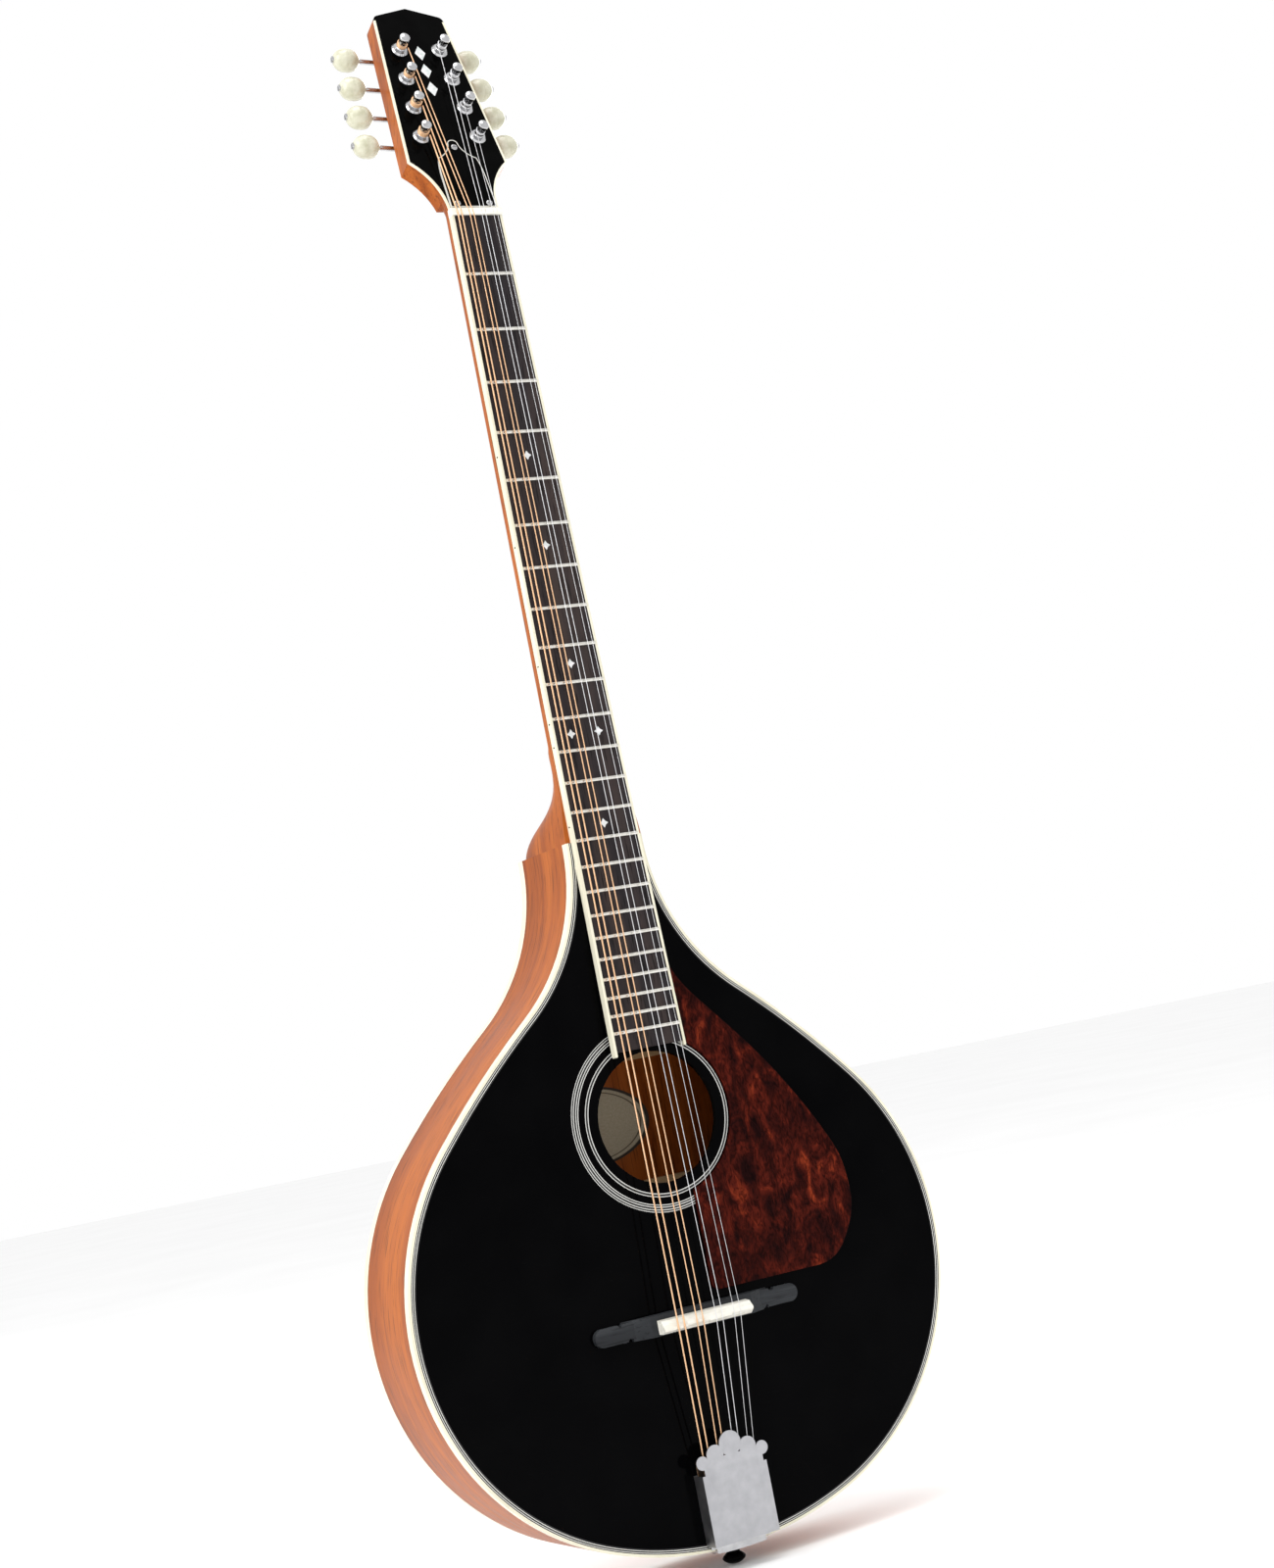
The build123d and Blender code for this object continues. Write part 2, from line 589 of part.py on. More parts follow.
NUT_OVER = 1.6
with BuildPart() as nut:
    add(slab(NECK, -fb_half(0) - FB_BIND, fb_half(0) + FB_BIND, 0, NUT_LEN, -FB_T, NUT_OVER))
    chamfer(nut.edges().filter_by(Axis.X).sort_by(Axis.Z)[-1], 1.2)
    for k in range(8):
        for lift in (0.0, 0.4, 0.8):
            add(Pos(0, -lift, 0) * GROOVES[k], mode=Mode.SUBTRACT)

# ---------------------------------------------------------------- truss-rod cover
with BuildPart() as truss_cover:
    with BuildSketch(HEAD):
        with BuildLine():
            a = Line((0, 1.0), (15.2, 1.0))
            b = Spline(a @ 1, (14.8, 20), (12.6, 38.0), tangents=((0, 1), (-0.35, 1)))
            c = Spline(b @ 1, (6.5, 42.5), (3.6, 48.0), tangents=((-1, 0.4), (-0.2, 1)))
            ThreePointArc(c @ 1, (2.6, 50.5), (0, 51.5))
            mirror(about=Plane.YZ)
        make_face()
    extrude(amount=PLATE_METAL)
    for x, u in COVER_SCREWS:
        add(HEAD.location * Pos(x, u, 0) * peg(SCREW_R, 10), mode=Mode.SUBTRACT)

# ---------------------------------------------------------------- bridge
BASE_H, BASE_MID_H = 3.6, 8.4
BRIDGE_Z = -SCALE + 1.2
BRIDGE = Plane(origin=(0, TOP_Y, BRIDGE_Z), x_dir=(1, 0, 0), z_dir=(0, -1, 0))
with BuildPart() as bridge_base:
    with BuildSketch(BRIDGE):
        SlotOverall(2 * BRIDGE_HALF, 10.4)
    extrude(amount=BASE_H)
    with BuildSketch(Plane(origin=(0, TOP_Y, BRIDGE_Z - 5.9), x_dir=(1, 0, 0), z_dir=(0, 0, 1))):
        with BuildLine():
            Polyline((-48, 0), (-33, -BASE_MID_H), (33, -BASE_MID_H), (48, 0), close=True)
        make_face()
    extrude(amount=11.8)
    for x, z in ((-44.5, -5.6), (49.5, 5.6)):
        with BuildSketch(BRIDGE):
            with Locations((x, z)):
                Circle(1.9)
        extrude(amount=12, mode=Mode.SUBTRACT)
    for x, sign in ((-50.0, 1), (45.0, -1)):
        with BuildSketch(BRIDGE):
            with BuildLine():
                Polyline((x - 2.2, sign * 6.2), (x, sign * 3.2), (x + 2.2, sign * 6.2), close=True)
            make_face()
        extrude(amount=12, mode=Mode.SUBTRACT)

SADDLE_HALF = 29.0
CRESTS = (-1.6, -0.6, -1.2, -0.3)
with BuildPart() as bridge_saddle:
    for k in range(4):
        x0 = -SADDLE_HALF + k * SADDLE_HALF / 2
        with BuildSketch(Plane(origin=(x0, TOP_Y, -SCALE), x_dir=(0, 0, 1), z_dir=(1, 0, 0))):
            with BuildLine():
                Polyline((-3.7, BASE_MID_H), (4.2, BASE_MID_H), (3.6, SADDLE_H - 3.4),
                         (CRESTS[k] + 0.6, SADDLE_H), (CRESTS[k] - 0.6, SADDLE_H),
                         (-3.7, SADDLE_H - 3.6), close=True)
            make_face()
        extrude(amount=SADDLE_HALF / 2)
    add(GROOVES, mode=Mode.SUBTRACT)

# ---------------------------------------------------------------- tailpiece and end pin
RAIL_HALF = 19.4
with BuildPart() as tailpiece_base:
    add(slab(BODY, -15, 15, TAIL_Z + 3, -756, 0, 1.8))
    add(slab(BODY, -RAIL_HALF, RAIL_HALF, TAIL_Z + 2.2, LIP_Z - 1.0, 1.8, 3.0))
    add(slab(BODY, -17.5, 17.5, LIP_Z - 1.0, LIP_Z + 1.0, 1.8, LIP_H))
    with BuildSketch(BODY.offset(-30)):
        add(body_shape(-PLATE_METAL))
        add(FULL, mode=Mode.SUBTRACT)
        add(rect(-16, 16, CLEAR_LOW, TAIL_Z + 30), mode=Mode.INTERSECT)
    extrude(amount=33)
    add(slab(BODY, -16, 16, TAIL_Z - 0.4, TAIL_Z + 3.5, 0, 3.0))
    for k in range(8):
        add(Pos(string_path(k)[0].X, TOP_Y - 5.2, HOOK_Z) * Rot(90, 0, 0) * peg(1.2, 5.0))
    add(Pos(0, PIN_Y, TAIL_Z) * peg(PIN_BORE_R, 10), mode=Mode.SUBTRACT)
    for x, back in TAIL_SCREWS:
        add(Pos(x, TOP_Y + back, TAIL_Z) * peg(PILOT_R, 10), mode=Mode.SUBTRACT)

COVER_LOW, COVER_TOP = -792, -752.5
LOBES = ((0, -738.2, 7.0), (-10.6, -742.2, 5.4), (10.6, -742.2, 5.4), (-19.4, -745.2, 3.9),
         (19.4, -745.2, 3.9))
with BuildPart() as tailpiece_cover:
    with BuildSketch(BODY.offset(TP_H - TP_WALL)):
        add(rect(-TP_HALF, TP_HALF, COVER_LOW, COVER_TOP))
        add(rect(-19, 19, -754, -744))
        for x, z, radius in LOBES:
            with Locations((x, z)):
                Circle(radius)
        with Locations((-20.9, -750.6), (20.9, -750.6)):
            Circle(1.5, mode=Mode.SUBTRACT)
    extrude(amount=TP_WALL)
    for sign in (-1, 1):
        outer = sign * TP_HALF
        inner = sign * (TP_HALF - TP_WALL)
        lip = sign * (RAIL_HALF - 1.2)
        add(slab(BODY, min(outer, inner), max(outer, inner), COVER_LOW, COVER_TOP, 0.6, TP_H))
        add(slab(BODY, min(outer, lip), max(outer, lip), COVER_LOW, COVER_TOP, 0.6, 1.4))

with BuildPart() as end_pin:
    with BuildSketch(Plane(origin=(0, PIN_Y, TAIL_Z), x_dir=(1, 0, 0), z_dir=(0, -1, 0))):
        with BuildLine():
            Polyline((0, 20), (3.0, 20), (3.5, -1.2), (6.0, -1.2), (6.0, -2.2))
            Spline((6.0, -2.2), (4.0, -4.2), (6.8, -7.2), (5.2, -9.4), (0, -10.0))
            Line((0, -10.0), (0, 20))
        make_face()
    revolve(axis=Axis((0, PIN_Y, 0), (0, 0, 1)))
tail_block_part = tail_block.part - TAIL_BORES - end_pin.part
side_left_part = side_left.part - TAIL_BORES
side_right_part = side_right.part - TAIL_BORES

# ---------------------------------------------------------------- tuners
EAR_X, EAR_T, EAR_R = (-5.9, 5.2), 1.2, 2.9    # bearing ears of each worm shaft
with BuildPart() as plate_blank:
    with BuildSketch(BANK.offset(-PLATE_METAL)):
        with Locations((0.15, 35.2)):
            RectangleRounded(13.3, 101, 3)
    extrude(amount=PLATE_METAL)
    for i in range(4):
        y = POST_PITCH * i
        for x in EAR_X:
            add(slab(BANK, x, x + EAR_T, y + SHAFT_Y - EAR_R, y + SHAFT_Y + EAR_R, SHAFT_Z, -PLATE_METAL))
            add(BANK.location * Pos(x + EAR_T / 2, y + SHAFT_Y, SHAFT_Z) * Rot(0, 90, 0) * peg(EAR_R, EAR_T))
    for i in range(4):
        y = POST_PITCH * i
        add(BANK.location * Pos(0, y + SHAFT_Y, SHAFT_Z) * Rot(0, 90, 0) * peg(SHAFT_R + RUN_FIT, 20),
            mode=Mode.SUBTRACT)
        add(BANK.location * Pos(0, y, 0) * peg(POST_R + RUN_FIT, 10), mode=Mode.SUBTRACT)
    for x, y in PLATE_SCREWS:
        add(BANK.location * Pos(x, y, 0) * peg(1.1, 10), mode=Mode.SUBTRACT)

with BuildPart() as tuner_plates:
    add(both_banks(plate_blank.part))

with BuildPart() as bushing:
    with BuildSketch(Plane.XZ):
        with BuildLine():
            Polyline((POST_R + RUN_FIT, HEAD_T - 8), (4.0, HEAD_T - 8), (4.0, HEAD_T), (5.3, HEAD_T),
                     (5.3, HEAD_T + 0.9), (4.4, HEAD_T + 2.0), (POST_R + RUN_FIT, HEAD_T + 2.0), close=True)
        make_face()
    revolve(axis=Axis.Z)

with BuildPart() as post_bushings:
    for i in range(4):
        add(both_banks(bank_plane(i).location * bushing.part))

with BuildPart() as wood_screw:
    Cylinder(1.0, 7, align=(Align.CENTER, Align.CENTER, Align.MIN))
    with Locations((0, 0, -PLATE_METAL)):
        Cylinder(1.0, PLATE_METAL + 0.1, align=(Align.CENTER, Align.CENTER, Align.MIN))
        Cylinder(2.1, 1.0, align=(Align.CENTER, Align.CENTER, Align.MAX))
    fillet(wood_screw.faces().sort_by(Axis.Z)[0].edges(), 0.6)
    with Locations((0, 0, -PLATE_METAL - 1.0)):
        Box(3.0, 0.45, 0.8, mode=Mode.SUBTRACT)
        Box(0.45, 3.0, 0.8, mode=Mode.SUBTRACT)

with BuildPart() as wood_screws:
    for x, y in PLATE_SCREWS:
        add(both_banks(BANK.location * Pos(x, y, 0) * wood_screw.part))
    for x, u in COVER_SCREWS:
        add(HEAD.location * Pos(x, u, 0) * Rot(180, 0, 0) * wood_screw.part)
    for x, back in TAIL_SCREWS:
        rise = R_TAIL - sqrt(R_TAIL ** 2 - x ** 2)
        add(Pos(x, TOP_Y + back, TAIL_Z + rise - 0.2) * wood_screw.part)

GEAR_Z0, GEAR_Z1 = SHAFT_Z - 1.3, SHAFT_Z + 1.3
SPIGOT_R = 1.9


def gear_blank():
    """Worm wheel with one tooth reaching straight into the worm's thread."""
    wheel = Cylinder(2.95, GEAR_Z1 - GEAR_Z0, align=(Align.CENTER, Align.CENTER, Align.MIN))
    tip = GEAR_R + 0.25
    tooth = Polyline((-0.42, 2.7), (0.42, 2.7), (0.18, tip), (-0.18, tip), (-0.42, 2.7))
    body = extrude(make_face(tooth), GEAR_Z1 - GEAR_Z0)
    for k in range(GEAR_TEETH):
        wheel += Rot(0, 0, 360 * k / GEAR_TEETH) * body
    return Pos(0, 0, GEAR_Z0) * wheel


def post_blank():
    """String post from its gear spigot to its cap."""
    with BuildPart() as post:
        with BuildSketch(Plane.XZ):
            with BuildLine():
                Polyline((1.0, GEAR_Z0), (SPIGOT_R, GEAR_Z0), (SPIGOT_R, GEAR_Z1), (POST_R, GEAR_Z1),
                         (POST_R, 17.6), (WAIST_R, 18.2), (WAIST_R, 23.6), (3.3, 24.4), (3.3, 26.2))
                Spline((3.3, 26.2), (2.2, 27.3), (0, 27.7), tangents=((0, 1), (-1, 0)))
                Polyline((0, 27.7), (0, 1.0), (1.0, 1.0), (1.0, GEAR_Z0))
            make_face()
        revolve(axis=Axis.Z)
        add(Pos(0, 0, 21.6) * Rot(90, 0, 0) * peg(0.7, 12), mode=Mode.SUBTRACT)
    return post.part


def gear_screw():
    """Screw that holds the wheel on its post."""
    with BuildPart() as screw:
        Cylinder(1.0, 1.0 - GEAR_Z0, align=(Align.CENTER, Align.CENTER, Align.MAX))
        with Locations((0, 0, GEAR_Z0)):
            Cylinder(2.3, 1.2, align=(Align.CENTER, Align.CENTER, Align.MAX))
        with Locations((0, 0, GEAR_Z0 - 1.2)):
            Box(5, 0.6, 1.0, mode=Mode.SUBTRACT)
    return screw.part


def winding(r):
    """Turns of string wound on the post waist."""
    turns = 4 if r > 0.3 else 6
    coil = Torus(WAIST_R + r, r)
    stack = Pos(0, 0, 20.5) * coil
    for k in range(1, turns):
        stack += Pos(0, 0, 20.5 - k * 1.7 * r if k < 3 else 20.5 + (k - 2) * 1.7 * r) * coil
    return stack


def worm_shaft():
    """Key shaft: worm between two journals, running out into the button."""
    lead_in = Pos(-5.3, 0, 0) * Rot(0, 90, 0) * peg(SHAFT_R, 3.4)
    stem = Pos(18.8, 0, 0) * Rot(0, 90, 0) * peg(SHAFT_R, 30.4)
    collar = Pos(7.3, 0, 0) * Rot(0, 90, 0) * peg(2.5, 1.2)
    bore = Pos(32, 0, 0) * Rot(0, 90, 0) * peg(0.9, 8)
    section = Pos(WORM_THROW, 0) * Circle(WORM_R - 0.05)
    worm = Solid.extrude_linear_with_rotation(section.face(), (0, 0, 0), (0, 0, WORM_LEN),
                                              360 * WORM_LEN / WORM_PITCH)
    worm = Pos(-WORM_LEN / 2, 0, 0) * Rot(0, 90, 0) * worm
    return lead_in + worm + stem + collar - bore


def button_screw():
    """Slotted screw through the button's outer end."""
    end = BUTTON_X + BUTTON_HALF
    screw = Pos(end + 0.5, 0, 0) * Rot(0, 90, 0) * peg(2.0, 1.0)
    screw += Pos(end - 4, 0, 0) * Rot(0, 90, 0) * peg(0.9, 9)
    return screw - Pos(end + 1, 0, 0) * Box(1.0, 6, 0.6)


def button_blank():
    """Oval button with a stepped bore for its shaft and screw."""
    inner, outer = BUTTON_X - BUTTON_HALF, BUTTON_X + BUTTON_HALF
    with BuildPart() as button:
        with BuildSketch(Plane.XY):
            with BuildLine():
                Polyline((34.0, 0.9), (34.0, SHAFT_R), (inner, SHAFT_R), (inner, 2.6))
                ThreePointArc((inner, 2.6), (BUTTON_X - 5.4, 5.9), (BUTTON_X, BUTTON_R))
                ThreePointArc((BUTTON_X, BUTTON_R), (BUTTON_X + 5.6, 5.7), (outer, 2.4))
                Polyline((outer, 2.4), (outer, 0.9), (34.0, 0.9))
            make_face()
        revolve(axis=Axis.X)
    return button.part


SHAFT = Pos(0, SHAFT_Y, SHAFT_Z) * worm_shaft()
SHAFT_SCREW = Pos(0, SHAFT_Y, SHAFT_Z) * button_screw()
BUTTON = Pos(0, SHAFT_Y, SHAFT_Z) * button_blank()
GEAR = gear_blank() - peg(SPIGOT_R, 40)
POST = post_blank()
GEAR_SCREW = gear_screw()

# ---------------------------------------------------------------- files
for name, part in (
        ("soundboard", soundboard.part), ("rosette", rosette.part), ("top_purfling", top_purfling.part),
        ("top_binding", top_binding.part), ("back_binding", back_binding.part),
        ("back_plate", back_plate.part), ("side_left", side_left_part), ("side_right", side_right_part),
        ("linings", linings.part), ("neck_block", neck_block.part), ("tail_block", tail_block_part),
        ("braces", braces.part), ("label", label.part), ("pickguard", pickguard.part),
        ("neck", neck.part), ("truss_rod", truss_rod.part), ("headstock_veneer", headstock_veneer_part),
        ("headstock_binding", headstock_binding.part), ("pearl_inlays", pearl_inlays.part),
        ("fretboard", fretboard.part), ("fretboard_binding", binding_part), ("side_dots", side_dots.part),
        ("frets", frets.part), ("nut", nut.part), ("truss_cover", truss_cover.part),
        ("bridge_base", bridge_base.part), ("bridge_saddle", bridge_saddle.part),
        ("tailpiece_base", tailpiece_base.part), ("tailpiece_cover", tailpiece_cover.part),
        ("end_pin", end_pin.part), ("tuner_plates", tuner_plates.part),
        ("post_bushings", post_bushings.part), ("wood_screws", wood_screws.part),
        ("wound_strings", wound_strings.part), ("plain_strings", plain_strings.part)):
    save(part, name)

for k in range(8):
    post_at = k if k < 4 else 7 - k
    place = bank_plane(post_at).location
    coil = winding(STRING_R[k // 2])
    pieces = {"shaft": [SHAFT, SHAFT_SCREW], "button": [BUTTON], "post": [POST, GEAR, GEAR_SCREW, coil]}
    for kind, solids in pieces.items():
        placed = [place * solid for solid in solids]
        if k < 4:
            placed = [mirror(solid, about=Plane.YZ) for solid in placed]
        flat = []
        for solid in placed:
            flat += solid.solids()
        save(Compound(flat), "tuner_%s_%d" % (kind, k + 1))
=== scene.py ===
"""Looks for the Irish bouzouki: materials, softened edges, fine lines, light and camera."""

import json
import math

import bmesh
import bpy
from mathutils import Matrix, Vector

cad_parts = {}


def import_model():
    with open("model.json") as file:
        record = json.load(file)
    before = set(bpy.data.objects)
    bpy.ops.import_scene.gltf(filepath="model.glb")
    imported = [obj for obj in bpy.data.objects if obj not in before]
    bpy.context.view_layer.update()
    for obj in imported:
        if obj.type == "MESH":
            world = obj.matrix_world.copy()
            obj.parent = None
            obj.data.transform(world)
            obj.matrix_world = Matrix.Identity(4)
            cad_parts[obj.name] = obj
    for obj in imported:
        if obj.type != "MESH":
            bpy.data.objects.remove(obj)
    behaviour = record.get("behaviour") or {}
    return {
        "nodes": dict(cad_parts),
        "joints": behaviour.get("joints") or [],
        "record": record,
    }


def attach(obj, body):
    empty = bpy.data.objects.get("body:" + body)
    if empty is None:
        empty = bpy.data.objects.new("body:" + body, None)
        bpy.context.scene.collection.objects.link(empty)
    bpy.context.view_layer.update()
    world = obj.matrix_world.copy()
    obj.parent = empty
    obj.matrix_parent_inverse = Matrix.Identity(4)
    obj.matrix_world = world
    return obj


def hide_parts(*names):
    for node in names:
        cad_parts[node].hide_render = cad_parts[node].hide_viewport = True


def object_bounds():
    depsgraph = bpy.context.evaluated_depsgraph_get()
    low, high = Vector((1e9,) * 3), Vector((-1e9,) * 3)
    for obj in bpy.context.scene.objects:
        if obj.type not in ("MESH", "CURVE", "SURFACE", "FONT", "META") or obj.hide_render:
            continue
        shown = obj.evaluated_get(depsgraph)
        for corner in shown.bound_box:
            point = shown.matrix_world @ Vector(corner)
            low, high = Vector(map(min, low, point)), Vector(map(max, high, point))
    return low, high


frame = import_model()
CAD_BOX = [list(corner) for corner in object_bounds()]
NODES = frame["nodes"]
BODY_OF = {}
for body_name, members in frame["record"]["behaviour"]["bodies"].items():
    for member in members:
        BODY_OF[member] = body_name
SLOT_OF = {part["node"]: part["material_slot"] for part in frame["record"]["subparts"]}
MM = 0.001


# ------------------------------------------------------------------ shader helpers
def add(tree, kind, inputs=None, **settings):
    """Adds a shader node; an input is a value or another node's output."""
    node = tree.nodes.new(kind)
    for key, value in settings.items():
        setattr(node, key, value)
    for key, value in (inputs or {}).items():
        if isinstance(value, bpy.types.NodeSocket):
            tree.links.new(value, node.inputs[key])
        else:
            node.inputs[key].default_value = value
    return node


def shader(name, metallic=0.0, coat=0.0, specular=0.5):
    """A new material with an empty Principled shader."""
    mat = bpy.data.materials.new(name)
    mat.use_nodes = True
    tree = mat.node_tree
    tree.nodes.clear()
    bsdf = add(tree, "ShaderNodeBsdfPrincipled",
               {"Metallic": metallic, "Coat Weight": coat, "Coat Roughness": 0.06,
                "Specular IOR Level": specular})
    out = add(tree, "ShaderNodeOutputMaterial")
    tree.links.new(bsdf.outputs["BSDF"], out.inputs["Surface"])
    return mat, tree, bsdf


def place(tree, scale=(1, 1, 1)):
    """Object coordinates in metres, stretched."""
    coord = add(tree, "ShaderNodeTexCoord")
    return add(tree, "ShaderNodeMapping", {"Vector": coord.outputs["Object"], "Scale": scale}).outputs[0]


def noise(tree, vector, scale, detail=4.0, distortion=0.0):
    """Noise factor at a scale."""
    return add(tree, "ShaderNodeTexNoise", {"Vector": vector, "Scale": scale, "Detail": detail,
                                           "Distortion": distortion}).outputs["Fac"]


def ramp(tree, factor, stops):
    """Colour ramp from (position, colour) stops."""
    node = add(tree, "ShaderNodeValToRGB", {"Fac": factor})
    elements = node.color_ramp.elements
    for index, (position, colour) in enumerate(stops):
        element = elements[index] if index < 2 else elements.new(position)
        element.position = position
        element.color = (*colour, 1.0)
    return node.outputs["Color"]


def spread(tree, factor, low, high):
    """Maps the middle of a noise factor onto a range."""
    return add(tree, "ShaderNodeMapRange", {"Value": factor, "From Min": 0.3, "From Max": 0.7,
                                            "To Min": low, "To Max": high}).outputs["Result"]


def darken(tree, colour, mask):
    """Multiplies a colour by a grey mask."""
    mix = add(tree, "ShaderNodeMix", data_type="RGBA", blend_type="MULTIPLY")
    mix.inputs[0].default_value = 1.0
    tree.links.new(colour, mix.inputs[6])
    tree.links.new(mask, mix.inputs[7])
    return mix.outputs[2]


def relief(tree, bsdf, height, depth):
    """Bump of a real depth in metres."""
    bump = add(tree, "ShaderNodeBump", {"Height": height, "Distance": depth, "Strength": 0.6})
    tree.links.new(bump.outputs["Normal"], bsdf.inputs["Normal"])


def surface(name, low, high, scale, rough, metallic=0.0, coat=0.0, depth=0.0, specular=0.5,
            stretch=(1, 1, 1)):
    """Finish that varies between two colours and two roughnesses."""
    mat, tree, bsdf = shader(name, metallic, coat, specular)
    factor = noise(tree, place(tree, stretch), scale)
    tree.links.new(ramp(tree, factor, ((0.3, low), (0.7, high))), bsdf.inputs["Base Color"])
    tree.links.new(spread(tree, factor, *rough), bsdf.inputs["Roughness"])
    if depth:
        relief(tree, bsdf, factor, depth)
    return mat


def wood(name, dark, mid, light, grain, rough, specular=0.12, pore=0.55):
    """Wood with broad figure, growth streaks and open pores, long in the direction of small grain."""
    mat, tree, bsdf = shader(name, specular=specular)
    figure = noise(tree, place(tree, tuple(g * 0.35 for g in grain)), 1.0, 3.0, 0.6)
    streak = noise(tree, place(tree, tuple(g * 3.0 for g in grain)), 1.0, 6.0, 0.3)
    both = add(tree, "ShaderNodeMath", {0: figure, 1: streak}, operation="ADD").outputs[0]
    half = add(tree, "ShaderNodeMath", {0: both, 1: 0.5}, operation="MULTIPLY").outputs[0]
    colour = ramp(tree, half, ((0.36, dark), (0.5, mid), (0.64, light)))
    pores = noise(tree, place(tree, tuple(g * 22.0 for g in grain)), 1.0, 2.0)
    mask = ramp(tree, pores, ((0.34, (pore, pore, pore)), (0.44, (1, 1, 1))))
    tree.links.new(darken(tree, colour, mask), bsdf.inputs["Base Color"])
    tree.links.new(spread(tree, streak, *rough), bsdf.inputs["Roughness"])
    relief(tree, bsdf, mask, 0.00004)
    return mat


# ------------------------------------------------------------------ materials
LONG_Z = (40.0, 40.0, 2.2)
ROUND_RIM = (2.2, 46.0, 2.2)
ACROSS_X = (2.2, 40.0, 40.0)
MAHOGANY = ((0.20, 0.042, 0.006), (0.34, 0.082, 0.012), (0.47, 0.130, 0.022))
HOLE = Vector((0.0, 0.0, -550.9)) * MM
RING_FROM, RING_TO = 44.0, 55.0                # radii that the rosette's ramp spans, mm
RING_WHITE, RING_BLACK = 0.6, 0.006
RING_STARTS = (44.0, 44.5, 45.7, 46.2, 50.3, 50.75, 51.6, 52.05, 53.15, 53.6, 54.45)
LABEL_CENTRE, LABEL_HALF = (-0.014, -0.551), (0.042, 0.024)     # across and up, metres


def tortoise():
    """Dark red shell with brighter and near-black clouds."""
    mat, tree, bsdf = shader("tortoise_shell", specular=0.03)
    warp = noise(tree, place(tree, (1.0, 1.0, 0.6)), 85.0, 6.0, 1.2)
    flecks = noise(tree, place(tree, (1.0, 1.0, 0.4)), 330.0, 5.0, 2.2)
    base = ramp(tree, warp, ((0.34, (0.012, 0.002, 0.002)), (0.50, (0.040, 0.005, 0.003)),
                             (0.62, (0.085, 0.010, 0.005)), (0.74, (0.22, 0.030, 0.010))))
    mask = ramp(tree, flecks, ((0.36, (0.35, 0.30, 0.30)), (0.60, (1, 1, 1))))
    tree.links.new(darken(tree, base, mask), bsdf.inputs["Base Color"])
    tree.links.new(spread(tree, warp, 0.16, 0.26), bsdf.inputs["Roughness"])
    return mat


def rosette_rings():
    """White and black rings by radius round the soundhole."""
    mat, tree, bsdf = shader("rosette_rings")
    coord = add(tree, "ShaderNodeTexCoord").outputs["Object"]
    split = add(tree, "ShaderNodeSeparateXYZ", {"Vector": coord})
    down = add(tree, "ShaderNodeMath", {0: split.outputs["Z"], 1: HOLE.z}, operation="SUBTRACT").outputs[0]
    flat = add(tree, "ShaderNodeCombineXYZ", {"X": split.outputs["X"], "Y": down}).outputs[0]
    radius = add(tree, "ShaderNodeVectorMath", {0: flat}, operation="LENGTH").outputs["Value"]
    span = add(tree, "ShaderNodeMapRange", {"Value": radius, "From Min": RING_FROM * MM,
                                            "From Max": RING_TO * MM})
    stops = []
    for index, start in enumerate(RING_STARTS):
        grey = RING_BLACK if index % 2 else RING_WHITE
        stops.append(((start - RING_FROM) / (RING_TO - RING_FROM), (grey, grey, grey * 0.95)))
    colour = ramp(tree, span.outputs["Result"], stops)
    colour.node.color_ramp.interpolation = "CONSTANT"
    tree.links.new(colour, bsdf.inputs["Base Color"])
    tree.links.new(spread(tree, noise(tree, place(tree), 60.0), 0.10, 0.2), bsdf.inputs["Roughness"])
    return mat


def label_paper():
    """Aged paper with a plain dark double border and nothing written on it."""
    mat, tree, bsdf = shader("label_paper_aged")
    coord = add(tree, "ShaderNodeTexCoord").outputs["Object"]
    across, up = (1 / half for half in LABEL_HALF)
    moved = add(tree, "ShaderNodeMapping",
                {"Vector": coord, "Scale": (across, 0.0, up),
                 "Location": (-LABEL_CENTRE[0] * across, 0, -LABEL_CENTRE[1] * up)}).outputs[0]
    radius = add(tree, "ShaderNodeVectorMath", {0: moved}, operation="LENGTH").outputs["Value"]
    ink = ramp(tree, radius, ((0.84, (1, 1, 1)), (0.86, (0.1, 0.08, 0.06)), (0.88, (1, 1, 1)),
                              (0.93, (1, 1, 1)), (0.95, (0.08, 0.06, 0.05))))
    fibre = noise(tree, place(tree), 900.0, 6.0)
    paper = ramp(tree, fibre, ((0.3, (0.38, 0.31, 0.21)), (0.7, (0.50, 0.42, 0.30))))
    tree.links.new(darken(tree, paper, ink), bsdf.inputs["Base Color"])
    tree.links.new(spread(tree, fibre, 0.75, 0.9), bsdf.inputs["Roughness"])
    relief(tree, bsdf, fibre, 0.00002)
    return mat


def wound(name, low, high, pitch):
    """Metal string with the ridges of its winding, its colour painted darker in the grooves between turns as
    painted shade.
    """
    mat, tree, bsdf = shader(name, metallic=1.0)
    wave = add(tree, "ShaderNodeTexWave", {"Vector": place(tree), "Scale": 0.314 / pitch, "Distortion": 0.0},
               wave_type="BANDS", bands_direction="Z").outputs["Fac"]
    # painted shade: the base colour is darker in the grooves between the winding's turns, following the same
    # bands as the ridges
    tree.links.new(ramp(tree, wave, ((0.1, low), (0.7, high))), bsdf.inputs["Base Color"])
    tree.links.new(spread(tree, wave, 0.42, 0.28), bsdf.inputs["Roughness"])
    relief(tree, bsdf, wave, 0.00005)
    return mat


